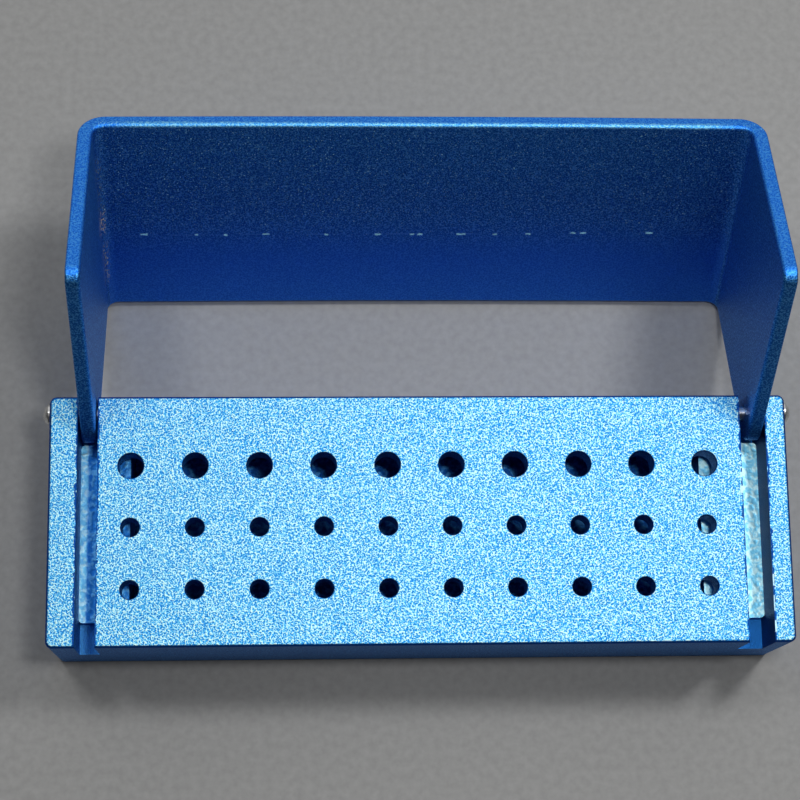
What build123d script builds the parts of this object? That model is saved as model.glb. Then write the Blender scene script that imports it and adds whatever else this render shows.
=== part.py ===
from build123d import *
from math import cos, radians, sin, sqrt
import os

os.makedirs("parts", exist_ok=True)

# All lengths in millimetres. X runs along the block, +Y to its rear, +Z up, underside at Z = 0.

# Block, outside
block_length = 73.65
block_depth = 24.95
block_height = 13.5
upright_corner_radius = 0.7
top_edge_radius = 0.3
bottom_edge_chamfer = 0.3

# Walls of the block around its hollow, and the slots for the lid's arms
top_thickness = 2.6
left_wall = 2.8
right_wall = 2.1
left_slot = 2.0
right_slot = 2.55
front_wall = 2.95
rear_wall = 4.05
slot_depth = 6.3
hollow_corner_radius = 0.4

# Holes for the burs: one row of wide holes at the rear, two rows of narrow ones before it
columns = 10
wide_hole_diameter = 2.5
narrow_hole_diameter = 1.8
hole_edge_radius = 0.15
first_column_from_left_slot = 3.275
last_column_from_right_slot = 3.775
rear_row_from_rear = 7.0
front_row_from_front = 5.63

# Base tray inside the block
tray_floor = 2.0
tray_end_play = 0.3

# Hinge
pin_diameter = 1.5
pin_head_diameter = 2.2
pin_head_height = 0.8
pin_head_rim = 0.2
pin_end_chamfer = 0.2
pin_grip = 3.7
pin_from_rear = 1.55
pin_below_top = 1.55
pin_play = 0.05

# Lid, a folded plate; its heights and lengths are taken from the pin, with the lid closed
lid_thickness = 1.43
lid_side_play = 0.37
lid_front_setback = 1.1
lid_rear_overhang = 1.0
lid_inside_height = 18.1
lid_bow = 0.22
arm_below_pin = 2.8
arm_above_ledge = 0.2
arm_front_radius = 1.5
fold_inside_radius = 1.2
lid_inner_edge_radius = 0.4
lid_outer_edge_radius = 0.2
open_angle = 119.5

# Block: positions that follow
top = block_height
rear = block_depth / 2
front = -block_depth / 2
left = -block_length / 2
right = block_length / 2
hollow_length = block_length - left_wall - right_wall
hollow_depth = block_depth - front_wall - rear_wall
hollow_x = (left_wall - right_wall) / 2
hollow_y = (front_wall - rear_wall) / 2
first_column = left + left_wall + left_slot + first_column_from_left_slot
last_column = right - right_wall - right_slot - last_column_from_right_slot
columns_middle = (first_column + last_column) / 2
column_pitch = (last_column - first_column) / (columns - 1)
rear_row = rear - rear_row_from_rear
front_row = front + front_row_from_front
row_pitch = (rear_row - front_row) / 2

# Hinge and tray: positions that follow
pin_y = rear - pin_from_rear
pin_z = top - pin_below_top
pin_length = max(left_wall + left_slot, right_wall + right_slot) + pin_grip
ledge_height = pin_z - arm_below_pin - arm_above_ledge
tray_well_length = last_column - first_column + 2 * tray_end_play

# Lid: sizes that follow; the plate's section is drawn along the middle of its thickness
lid_front = block_depth - pin_from_rear - lid_front_setback
lid_rear = pin_from_rear + lid_rear_overhang
arm_middle = (hollow_length - lid_thickness) / 2 - lid_side_play
plate_height = lid_inside_height + lid_thickness / 2
fold_radius = fold_inside_radius + lid_thickness / 2
bow_radius = (arm_middle**2 + lid_bow**2) / (2 * lid_bow)
bow_centre = plate_height + lid_bow - bow_radius
fold_x = arm_middle - fold_radius
fold_height = bow_centre + sqrt((bow_radius - fold_radius) ** 2 - fold_x**2)
bow_end_x = fold_x * bow_radius / (bow_radius - fold_radius)
bow_end_height = bow_centre + sqrt(bow_radius**2 - bow_end_x**2)

# Direction of the open lid: "up" runs from the pin to the lid's plate, "ahead" to the lid's front
up = Vector(0, sin(radians(open_angle)), cos(radians(open_angle)))
ahead = Vector(0, -cos(radians(open_angle)), sin(radians(open_angle)))
across_lid = Plane(origin=(hollow_x, pin_y, pin_z), x_dir=(1, 0, 0), z_dir=ahead)
beside_block = Plane(origin=(0, pin_y, pin_z), x_dir=(0, 1, 0), z_dir=(1, 0, 0))


# Block body: a closed top and four walls, hollow from below, with a slot beside each end wall
with BuildPart() as block_body:
    with BuildSketch(Plane.XY):
        RectangleRounded(block_length, block_depth, upright_corner_radius)
    extrude(amount=block_height)
    fillet(block_body.faces().sort_by(Axis.Z)[-1].edges(), top_edge_radius)
    chamfer(block_body.faces().sort_by(Axis.Z)[0].edges(), bottom_edge_chamfer)
    # hollow
    with BuildSketch(Plane.XY):
        with Locations((hollow_x, hollow_y)):
            RectangleRounded(hollow_length, hollow_depth, hollow_corner_radius)
    extrude(amount=block_height - top_thickness, mode=Mode.SUBTRACT)
    # slots for the lid's arms
    with BuildSketch(Plane.XY.offset(top)):
        with Locations((left + left_wall + left_slot / 2, 0)):
            Rectangle(left_slot, block_depth)
        with Locations((right - right_wall - right_slot / 2, 0)):
            Rectangle(right_slot, block_depth)
    extrude(amount=-slot_depth, mode=Mode.SUBTRACT)
    # holes for the burs
    with BuildSketch(Plane.XY.offset(top)):
        with Locations((columns_middle, rear_row)):
            with GridLocations(column_pitch, row_pitch, columns, 1):
                Circle(wide_hole_diameter / 2)
        with Locations((columns_middle, front_row + row_pitch / 2)):
            with GridLocations(column_pitch, row_pitch, columns, 2):
                Circle(narrow_hole_diameter / 2)
    extrude(amount=-top_thickness, mode=Mode.SUBTRACT)
    hole_edges = block_body.edges().filter_by_position(Axis.Z, top, top)
    fillet(hole_edges.filter_by(lambda edge: edge.is_closed), hole_edge_radius)
    # bores for the hinge pins
    with BuildSketch(beside_block.offset(left)):
        Circle(pin_diameter / 2)
    extrude(amount=pin_length, mode=Mode.SUBTRACT)
    with BuildSketch(beside_block.offset(right)):
        Circle(pin_diameter / 2)
    extrude(amount=-pin_length, mode=Mode.SUBTRACT)


# Base tray: closes the hollow from below; its raised ends show in the slots
with BuildPart() as base_tray:
    with BuildSketch(Plane.XY):
        with Locations((hollow_x, hollow_y)):
            RectangleRounded(hollow_length, hollow_depth, hollow_corner_radius)
    extrude(amount=ledge_height)
    with BuildSketch(Plane.XY.offset(tray_floor)):
        with Locations((columns_middle, hollow_y)):
            Rectangle(tray_well_length, hollow_depth)
    extrude(amount=ledge_height - tray_floor, mode=Mode.SUBTRACT)


# Lid: one plate folded to a U and bowed a little outwards, shown open behind the block
with BuildPart() as lid:
    # the folded section, run from the lid's rear edge to its front
    with BuildSketch(across_lid.offset(-lid_rear)):
        with BuildLine():
            Line((-arm_middle, -arm_below_pin), (-arm_middle, fold_height))
            TangentArc((-arm_middle, fold_height), (-bow_end_x, bow_end_height), tangent=(0, 1))
            ThreePointArc(
                (-bow_end_x, bow_end_height),
                (0, plate_height + lid_bow),
                (bow_end_x, bow_end_height),
            )
            TangentArc((arm_middle, fold_height), (bow_end_x, bow_end_height), tangent=(0, 1))
            Line((arm_middle, fold_height), (arm_middle, -arm_below_pin))
        trace(line_width=lid_thickness)
    extrude(amount=lid_front + lid_rear)
    # lower corners of the arms: tight at the front, round about the pin at the rear
    arm_ends = lid.edges().filter_by(Axis.X).group_by(SortBy.LENGTH)[0]
    fillet(arm_ends.group_by(Axis(across_lid.origin, ahead))[-1], arm_front_radius)
    arm_ends = lid.edges().filter_by(Axis.X).group_by(SortBy.LENGTH)[0]
    fillet(arm_ends.group_by(Axis(across_lid.origin, ahead))[0], lid_rear - pin_play)
    # edges: rounder along the inside of the plate than along its outside
    lengthwise = Axis(across_lid.origin, ahead)
    middle = across_lid.from_local_coords((0, lid_inside_height / 2, (lid_front - lid_rear) / 2))
    inside = lid.faces().filter_by(lambda face: face.normal_at().dot(middle - face.center()) > 0)
    fillet(inside.edges().filter_by(lengthwise, reverse=True), lid_inner_edge_radius)
    outside = (
        lid.faces()
        .filter_by(lambda face: face.normal_at().dot(middle - face.center()) < 0)
        .filter_by(lambda face: abs(face.normal_at().dot(ahead)) < 0.1)
        .filter_by(lambda face: face.normal_at().dot(up) > -0.1)
    )
    fillet(outside.edges().filter_by(lengthwise, reverse=True), lid_outer_edge_radius)
    # bores that turn on the hinge pins
    with BuildSketch(beside_block.offset(left)):
        Circle(pin_diameter / 2 + pin_play)
    extrude(amount=block_length, mode=Mode.SUBTRACT)


# Hinge pins: domed head outside the end wall, shank pressed through the wall into the block
left_pin = Plane(origin=(left, pin_y, pin_z), x_dir=(1, 0, 0), z_dir=(0, -1, 0))
right_pin = Plane(origin=(right, pin_y, pin_z), x_dir=(-1, 0, 0), z_dir=(0, -1, 0))
dome_height = pin_head_height - pin_head_rim
pin_outline = [
    (-pin_head_rim, pin_head_diameter / 2),
    (0, pin_head_diameter / 2),
    (0, pin_diameter / 2),
    (pin_length - pin_end_chamfer, pin_diameter / 2),
    (pin_length, pin_diameter / 2 - pin_end_chamfer),
    (pin_length, 0),
    (-pin_head_height, 0),
]
dome_radius = ((pin_head_diameter / 2) ** 2 + dome_height**2) / (2 * dome_height)

with BuildPart() as hinge_pin_left:
    with BuildSketch(left_pin):
        with BuildLine():
            Polyline(pin_outline)
            RadiusArc(pin_outline[-1], pin_outline[0], dome_radius)
        make_face()
    revolve(axis=Axis((left, pin_y, pin_z), (1, 0, 0)))

with BuildPart() as hinge_pin_right:
    with BuildSketch(right_pin):
        with BuildLine():
            Polyline(pin_outline)
            RadiusArc(pin_outline[-1], pin_outline[0], dome_radius)
        make_face()
    revolve(axis=Axis((right, pin_y, pin_z), (1, 0, 0)))


block_body.part.label = "block_body"
base_tray.part.label = "base_tray"
lid.part.label = "lid"
hinge_pin_left.part.label = "hinge_pin_left"
hinge_pin_right.part.label = "hinge_pin_right"

export_step(block_body.part, "parts/block_body.step")
export_step(base_tray.part, "parts/base_tray.step")
export_step(lid.part, "parts/lid.step")
export_step(hinge_pin_left.part, "parts/hinge_pin_left.step")
export_step(hinge_pin_right.part, "parts/hinge_pin_right.step")
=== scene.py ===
import bpy
from math import radians
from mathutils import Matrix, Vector

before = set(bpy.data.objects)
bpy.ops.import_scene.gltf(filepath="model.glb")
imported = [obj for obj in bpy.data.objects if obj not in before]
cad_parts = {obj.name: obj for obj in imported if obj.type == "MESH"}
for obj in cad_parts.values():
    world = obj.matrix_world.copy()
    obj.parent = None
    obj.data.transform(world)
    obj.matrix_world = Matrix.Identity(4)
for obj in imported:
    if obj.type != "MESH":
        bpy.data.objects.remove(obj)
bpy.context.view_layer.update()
mm = 0.001

# Places on the block, in millimetres, as the part has them
pin_place = (0, 10.925, 11.95)
end_wall = 36.825
lid_open = radians(119.5)
block_top = 13.5
slot_edges = (-34.025, -32.025, 32.175, 34.725)
right_slot_wall = slot_edges[3]
ledge_top = 8.95
notch_floor = 7.2

# Places on the lid, counted from the pin's axis with the lid closed: across, ahead is negative, up.
# The left fold is where across and up, weighed by its lean, come to the fold line.
plate_inside = 18.2
front_rim = -22.325
rub_line = -7.52
fold_lean = -0.25
fold_line = -36.5

# Wear that the photograph shows. Knocks on the block: x, y, half width and half length. Dashes that
# the burs' heads rubbed into the lid's inside: across, ahead and half length. Filings caught in the
# lid's left fold: colour, the middle of their run and half its length.
knocks = (
    (32.1, 2.8, 0.16, 0.3), (32.08, 4.3, 0.08, 0.2), (24.0, -12.3, 0.3, 0.12),
    (-36.65, 9.96, 0.12, 0.25), (34.7, -6.3, 0.1, 0.5), (34.65, -8.6, 0.12, 0.7),
    (34.75, -10.9, 0.08, 0.5),
)
dashes = (
    (-27.97, -7.55, 0.3), (-22.6, -7.45, 0.1), (-19.6, -7.4, 0.12), (-15.43, -7.5, 0.3),
    (-9.2, -7.4, 0.12), (-3.85, -7.45, 0.25), (-0.32, -7.45, 0.15), (0.51, -7.45, 0.2),
    (4.78, -7.46, 0.4), (8.3, -7.5, 0.15), (11.76, -7.54, 0.2), (16.45, -7.69, 0.2),
    (17.5, -7.69, 0.25), (24.41, -7.78, 0.3),
)
filings = (("#a8a898", -4.0, 2.0), ("#6c8490", -14.0, 4.0), ("#f0d8a0", -9.7, 0.6))

# Levels of the beaded pattern at which its deep, middling and pale tones stand
tone_levels = (0.64, 0.78, 0.94)


def colour(written):
    """An sRGB colour written as #rrggbb, turned to the linear light that the shader works in."""
    parts = [int(written[i:i + 2], 16) / 255 for i in (1, 3, 5)]
    linear = [p / 12.92 if p <= 0.04045 else ((p + 0.055) / 1.055) ** 2.4 for p in parts]
    return (*linear, 1.0)


def add(tree, kind, settings=None, inputs=None):
    """Adds one node. An input is a number, a vector, a colour written as #rrggbb, or a pair to link,
    of a node and its output; stops are the steps of a colour ramp, each a place and a colour."""
    node = tree.nodes.new("ShaderNode" + kind)
    for name, value in (settings or {}).items():
        if name == "stops":
            steps = node.color_ramp.elements
            while len(steps) < len(value):
                steps.new(0.5)
            for step, (place, paint) in zip(steps, value):
                step.position = place
                step.color = colour(paint)
        else:
            setattr(node, name, value)
    for name, value in (inputs or {}).items():
        if isinstance(value, tuple) and isinstance(value[0], bpy.types.Node):
            tree.links.new(value[0].outputs[value[1]], node.inputs[name])
        elif isinstance(value, str):
            node.inputs[name].default_value = colour(value)
        else:
            node.inputs[name].default_value = value
    return node


def empty_finish(name):
    """A material with no nodes yet, and its tree."""
    material = bpy.data.materials.new(name)
    material.use_nodes = True
    material.node_tree.nodes.clear()
    return material, material.node_tree


def metal(tree, paint, roughness, relief, sheen_left=1.0):
    """Metal of one roughness with a painted colour and a relief, joined to the output. Scratches,
    which scatter the light, and painted glints are where less of the metal's own sheen is left."""
    shader = add(tree, "BsdfPrincipled", None,
                 {"Base Color": paint, "Metallic": sheen_left, "Roughness": roughness,
                  "Normal": relief})
    add(tree, "OutputMaterial", None, {"Surface": (shader, "BSDF")})


def millimetres(tree, centre=(0, 0, 0), turn=0.0, stretch=(1, 1, 1)):
    """The place on the piece in millimetres, counted from a centre and turned about X; a pattern
    that reads it is drawn longer along an axis by the stretch."""
    place = add(tree, "TexCoord")
    return add(tree, "Mapping", {"vector_type": "TEXTURE"},
               {"Vector": (place, "Object"), "Location": [c * mm for c in centre],
                "Rotation": (turn, 0, 0), "Scale": [mm * s for s in stretch]}), "Vector"


def band(tree, value, middle, reach, fade):
    """1 where the value is within reach of the middle, falling smoothly to 0 over the fade."""
    shifted = add(tree, "Math", {"operation": "SUBTRACT"}, {0: value, 1: middle})
    off = add(tree, "Math", {"operation": "ABSOLUTE"}, {0: (shifted, 0)})
    return add(tree, "MapRange", {"interpolation_type": "SMOOTHSTEP"},
               {"Value": (off, 0), "From Min": reach + fade, "From Max": reach}), "Result"


def specks(tree, place, per_mm, start, full):
    """Scattered specks: soft noise, 0 below the start level and 1 above the full level."""
    soft = add(tree, "TexNoise", None,
               {"Vector": place, "Scale": per_mm, "Detail": 2.0, "Roughness": 0.6})
    return add(tree, "MapRange", {"interpolation_type": "SMOOTHSTEP"},
               {"Value": (soft, "Fac"), "From Min": start, "From Max": full}), "Result"


def wavered(tree, value, place, per_mm, sway):
    """A value moved to and fro by soft noise; a line drawn from it is ragged by the sway."""
    soft = add(tree, "TexNoise", None,
               {"Vector": place, "Scale": per_mm, "Detail": 3.0, "Roughness": 0.65})
    spread = add(tree, "MapRange", None, {"Value": (soft, "Fac"), "From Min": 0.25,
                                          "From Max": 0.75, "To Min": -sway, "To Max": sway})
    return add(tree, "Math", {"operation": "ADD"}, {0: value, 1: (spread, "Result")}), 0


def leaning(tree, value, lean, other):
    """A value, times the lean, added to another one, so that a line drawn from them is slanted."""
    return add(tree, "Math", {"operation": "MULTIPLY_ADD"}, {0: value, 1: lean, 2: other}), 0


def where_all(tree, masks):
    """1 where all the masks are 1."""
    cover = masks[0]
    for mask in masks[1:]:
        cover = add(tree, "Math", {"operation": "MULTIPLY"}, {0: cover, 1: mask}), 0
    return cover


def laid_over(tree, under, paint, *masks):
    """One colour laid over another where all the masks are 1."""
    return add(tree, "Mix", {"data_type": "RGBA"},
               {0: where_all(tree, masks), 6: under, 7: paint}), 2


def scratches_and_glints(tree, under, sheen_left, paint, *masks):
    """Bare scratches, and also painted glints, laid over a finish: their colour, and the sheen that is
    left beside them.
    """
    cover = where_all(tree, masks)
    left = add(tree, "Math", {"operation": "SUBTRACT", "use_clamp": True},
               {0: sheen_left, 1: cover})
    return laid_over(tree, under, paint, cover), (left, 0)


def dimples(tree, place, per_mm, depth, *scales_of_tones):
    """Beaded metal: round cells, loosened by finer noise, give the relief, its depth in mm, and,
    through a ramp, each scale of tones from the deep bottoms of the dimples to the pale ridges
    between them; the tones are the grain, with painted glints on the palest ridges. Returns the relief,
    then the colours."""
    soft = add(tree, "TexNoise", None, {"Vector": place, "Scale": per_mm * 1.7, "Detail": 1.0})
    cell = add(tree, "TexVoronoi", None, {"Vector": place, "Scale": per_mm})
    grain = leaning(tree, (cell, "Distance"), 0.55, (soft, "Fac"))
    relief = add(tree, "Bump", None, {"Height": grain, "Distance": depth * mm})
    colours = [(add(tree, "ValToRGB", {"stops": list(zip(tone_levels, tones))}, {"Fac": grain}),
                "Color") for tones in scales_of_tones]
    return (relief, "Normal"), *colours


# Block: aluminium, bead-blasted and then anodised with a blue dye. The beads leave shallow dimples
# that overlap, so the surface is satin and each dimple catches the light on its own: a glitter of
# pale and deep blue, drawn by the relief and also painted into the colour as glints. Real dimples
# are about 0.1 mm, too fine to show here; they are drawn coarser, at 0.2 mm. The top is painted
# pale, as painted light where it faces the lamps; the sides, slots and holes keep the deeper dye.
def blasted_block():
    material, tree = empty_finish("blasted anodised aluminium, block")
    place = millimetres(tree)
    split = add(tree, "SeparateXYZ", None, {"Vector": place})
    x, y, z = (split, "X"), (split, "Y"), (split, "Z")
    relief, pale, deep = dimples(tree, place, 5.0, 0.04, ("#1787e0", "#5fcbf6", "#d4fbff"),
                                 ("#1b5cb4", "#2a78cb", "#4f9fe4"))
    # the top face, ragged where it meets the rounded edges of the holes and the outside; painted in the
    # pale tones as painted light
    top_face = band(tree, wavered(tree, z, place, 1.8, 0.006), block_top + 0.1, 0.112, 0.012)
    paint = laid_over(tree, deep, pale, top_face)
    # painted shade on the rounded edges about the top and its holes
    paint = laid_over(tree, paint, "#1558b2", band(tree, z, block_top - 0.14, 0.1, 0.04))
    # painted shade on the right slot's outer wall, which is cut smooth and stands in the slot's shadow
    paint = laid_over(tree, paint, "#0f3570", band(tree, x, right_slot_wall, 0.02, 0.05),
                      band(tree, z, notch_floor + 3.0, 3.0, 0.1))
    # painted light on the floors of the slots' ends, which face up: paler than the walls, the left one
    # more
    for (start, end), tint in ((slot_edges[:2], "#5ab4fa"), (slot_edges[2:], "#2f86dc")):
        in_slot = band(tree, x, (start + end) / 2, (end - start) / 2, 0.02)
        paint = laid_over(tree, paint, tint, in_slot, band(tree, z, notch_floor, 0.01, 0.02))
    # the slots' top edges: a dark ragged line along them
    ragged_x = wavered(tree, x, place, 1.3, 0.22)
    for edge in slot_edges:
        paint = laid_over(tree, paint, "#0f4fa4", band(tree, ragged_x, edge, 0.08, 0.08), top_face)
    # knocks: bare bright spots on the edges
    for spot_x, spot_y, half_width, half_length in knocks:
        paint = laid_over(tree, paint, "#c9f3ff", band(tree, x, spot_x, half_width, 0.1),
                          band(tree, y, spot_y, half_length, 0.15), top_face)
    metal(tree, paint, 0.55, relief)
    return material


# Lid: the same beaded and dyed aluminium, folded from plate, in much the same deep tones as the
# block's sides; its dimples too are drawn coarser, at 0.2 mm. Painted glints lie over the front part
# of its inside, painted light along its rims, and a painted highlight on their inner corner. The burs'
# heads have rubbed a row of short bright dashes into its inside, and filings of bare metal are caught in
# the left fold.
def blasted_lid():
    material, tree = empty_finish("blasted anodised aluminium, lid")
    place = millimetres(tree)
    split = add(tree, "SeparateXYZ", None, {"Vector": millimetres(tree, pin_place, -lid_open)})
    across, ahead, up = (split, "X"), (split, "Y"), (split, "Z")
    relief, paint, smooth, pale, painted_highlight_tones = dimples(
        tree, place, 5.0, 0.03, ("#1f66be", "#2c7ed0", "#5cacee"),
        ("#2a72d8", "#3380e2", "#3f8eea"), ("#2478ea", "#3490fc", "#50aaff"),
        ("#3f9cf0", "#62b8fa", "#8ad4ff"))
    # inside, towards the hinge: smoother, because the beads reached less of it
    inside = band(tree, up, plate_inside, 0.5, 0.1)
    paint = laid_over(tree, paint, smooth, band(tree, ahead, 2.6, 6.0, 7.0), inside)
    # rims: painted light all along the front edge, which faces up and back towards the light, and a
    # painted highlight on the plate's inner corner
    rim = band(tree, wavered(tree, ahead, place, 1.8, 0.05), front_rim, 0.3, 0.15)
    paint = laid_over(tree, paint, pale, rim)
    # the painted highlight on the rim's rounded inner corner
    inner_corner = band(tree, wavered(tree, up, place, 1.2, 0.1), plate_inside, 0.35, 0.3)
    paint = laid_over(tree, paint, painted_highlight_tones, rim, inner_corner, band(tree, across, 0.35, 28.0, 3.5))
    # glitter: painted glints where the few dimples face the light, over the front part of the plate
    paint, sheen_left = scratches_and_glints(
        tree, paint, 1.0, "#a8eeff", specks(tree, place, 6.5, 0.63, 0.72),
        band(tree, ahead, front_rim + 4, 7.0, 7.0), inside)
    # rub marks: a faint broken line across the plate, and brighter dashes on it
    slanted = leaning(tree, across, 0.004, ahead)
    paint = laid_over(tree, paint, "#5aa4ec", band(tree, slanted, rub_line, 0.03, 0.07),
                      specks(tree, place, 0.35, 0.5, 0.68), inside)
    ragged_ahead = wavered(tree, ahead, place, 2.0, 0.12)
    for dash_across, dash_ahead, half_length in dashes:
        paint, sheen_left = scratches_and_glints(
            tree, paint, sheen_left, "#a0e8ff", band(tree, across, dash_across, half_length, 0.15),
            band(tree, ragged_ahead, dash_ahead, 0.06, 0.1), inside)
    # filings: thin silvery and straw-coloured streaks along the inside of the left fold
    fold = leaning(tree, up, fold_lean, across)
    streaky = millimetres(tree, pin_place, -lid_open, (0.35, 1, 0.35))
    in_fold = band(tree, up, plate_inside - 1.2, 1.4, 0.2)
    for tint, middle, half_length in filings:
        paint, sheen_left = scratches_and_glints(
            tree, paint, sheen_left, tint, band(tree, fold, fold_line, 0.12, 0.35),
            specks(tree, streaky, 3.0, 0.56, 0.64), band(tree, ahead, middle, half_length, 1.5),
            in_fold)
    metal(tree, paint, 0.5, relief, sheen_left)
    return material


# Base tray: aluminium, milled, tumbled and anodised blue: smoother than the block, with a soft
# mottling where the cutter's marks were worn down. Its ledges carry painted light and shade: the right
# ledge and a strip along the left one's outer side are painted pale as painted light, and the rest of
# the left ledge darker as the painted shadow of the block beside it.
def milled_tray():
    material, tree = empty_finish("milled anodised aluminium, tray")
    place = millimetres(tree)
    split = add(tree, "SeparateXYZ", None, {"Vector": place})
    x, z = (split, "X"), (split, "Z")
    relief, pale, middling, deep = dimples(
        tree, place, 1.6, 0.03, ("#7ed4f8", "#9ee4fc", "#c8f6ff"),
        ("#2a7fd6", "#3a90df", "#63b4f0"), ("#1b5cb4", "#2a78cb", "#4f9fe4"))
    ledges = band(tree, z, ledge_top + 0.1, 0.15, 0.1)
    # painted shade on the ledges, then painted light on the right ledge and on a ragged strip along the
    # left ledge's outer side
    paint = laid_over(tree, deep, middling, ledges)
    paint = laid_over(tree, paint, pale, ledges, band(tree, x, 33.0, 30.0, 10.0))
    ragged_x = wavered(tree, x, place, 0.8, 0.1)
    paint = laid_over(tree, paint, pale, ledges, band(tree, ragged_x, -34.4, 0.9, 0.35))
    metal(tree, paint, 0.45, relief)
    return material


# Hinge pins: stainless steel wire with a turned dome, left bright: a soft mirror with fine rings.
def bright_steel(name, end):
    material, tree = empty_finish(name)
    place = millimetres(tree, (end, pin_place[1], pin_place[2]))
    rings = add(tree, "TexWave", {"wave_type": "RINGS", "rings_direction": "X"},
                {"Vector": place, "Scale": 2.6, "Distortion": 0.4, "Detail": 1.0})
    smear = add(tree, "TexNoise", None, {"Vector": place, "Scale": 2.0, "Detail": 3.0})
    paint = add(tree, "ValToRGB", {"stops": [(0.3, "#cfd0d2"), (0.7, "#f0f0ee")]},
                {"Fac": (smear, "Fac")})
    relief = add(tree, "Bump", None, {"Height": (rings, "Fac"), "Distance": 0.004 * mm})
    metal(tree, (paint, "Color"), 0.25, (relief, "Normal"))
    return material


finishes = {
    "block_body": blasted_block(),
    "lid": blasted_lid(),
    "base_tray": milled_tray(),
    "hinge_pin_left": bright_steel("turned stainless steel, left", -end_wall),
    "hinge_pin_right": bright_steel("turned stainless steel, right", end_wall),
}
for node_name, finish in finishes.items():
    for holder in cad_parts[node_name].material_slots:
        holder.material = finish


# Floor: plain pale grey board, with a little sheen and a fine tooth.
floor_half = 1.5
floor_mesh = bpy.data.meshes.new("floor")
floor_mesh.from_pydata([(-floor_half, -floor_half, 0), (floor_half, -floor_half, 0),
                        (floor_half, floor_half, 0), (-floor_half, floor_half, 0)],
                       [], [(0, 1, 2, 3)])
floor = bpy.data.objects.new("floor", floor_mesh)
bpy.context.scene.collection.objects.link(floor)
board, board_tree = empty_finish("pale grey board")
tooth = add(board_tree, "TexNoise", None,
            {"Vector": millimetres(board_tree), "Scale": 1.2, "Detail": 4.0})
tone = add(board_tree, "ValToRGB", {"stops": [(0.3, "#9c9c9b"), (0.7, "#a8a8a7")]},
           {"Fac": (tooth, "Fac")})
board_shader = add(board_tree, "BsdfPrincipled", None,
                   {"Base Color": (tone, "Color"), "Roughness": 0.5, "Specular IOR Level": 0.4})
add(board_tree, "OutputMaterial", None, {"Surface": (board_shader, "BSDF")})
floor_mesh.materials.append(board)

# Room: dim in front, where the photographer stood, and brighter behind and a little above.
towards_rear = (0.0, 0.94, 0.34)
room = bpy.data.worlds.new("room")
bpy.context.scene.world = room
room.use_nodes = True
room_tree = room.node_tree
room_tree.nodes.clear()
looking = add(room_tree, "TexCoord")
behind = add(room_tree, "VectorMath", {"operation": "DOT_PRODUCT"},
             {0: (looking, "Generated"), 1: towards_rear})
grey = add(room_tree, "ValToRGB",
           {"stops": [(0.0, "#343434"), (0.35, "#585858"), (1.0, "#d0d0d0")]},
           {"Fac": (behind, "Value")})
background = add(room_tree, "Background", None, {"Color": (grey, "Color")})
add(room_tree, "OutputWorld", None, {"Surface": (background, "Background")})


def soft_lamp(name, place, width, length, power):
    """A rectangular lamp at a place, aimed at the block, its length to the front and rear."""
    lamp = bpy.data.lights.new(name, "AREA")
    lamp.shape = "RECTANGLE"
    lamp.size = width
    lamp.size_y = length
    lamp.energy = power
    holder = bpy.data.objects.new(name, lamp)
    bpy.context.scene.collection.objects.link(holder)
    holder.location = place
    to_block = Vector((0, 0, 0.01)) - Vector(place)
    holder.rotation_euler = to_block.to_track_quat("-Z", "Y").to_euler()


# Light: a small soft lamp nearly overhead, and one to each side, further up and behind. Places and
# sizes are in metres, powers in watts.
soft_lamp("overhead lamp", (0.020, -0.008, 0.215), 0.02, 0.03, 0.09)
soft_lamp("left soft lamp", (-0.135, 0.14, 0.38), 0.06, 0.08, 0.2)
soft_lamp("right soft lamp", (0.12, 0.09, 0.28), 0.035, 0.07, 0.24)

# Camera: above and slightly in front, as the photograph was taken
focal_length = 97.172
camera_place = (-13.361, -34.049, 224.224)
camera_turn = (12.3626, -2.9022, -0.808)
view = bpy.data.cameras.new("camera")
view.lens = focal_length
view.sensor_width = 36.0
view.clip_start = 0.01
camera = bpy.data.objects.new("camera", view)
bpy.context.scene.collection.objects.link(camera)
camera.location = [p * mm for p in camera_place]
camera.rotation_euler = [radians(t) for t in camera_turn]
bpy.context.scene.camera = camera
bpy.context.scene.view_settings.view_transform = "Standard"
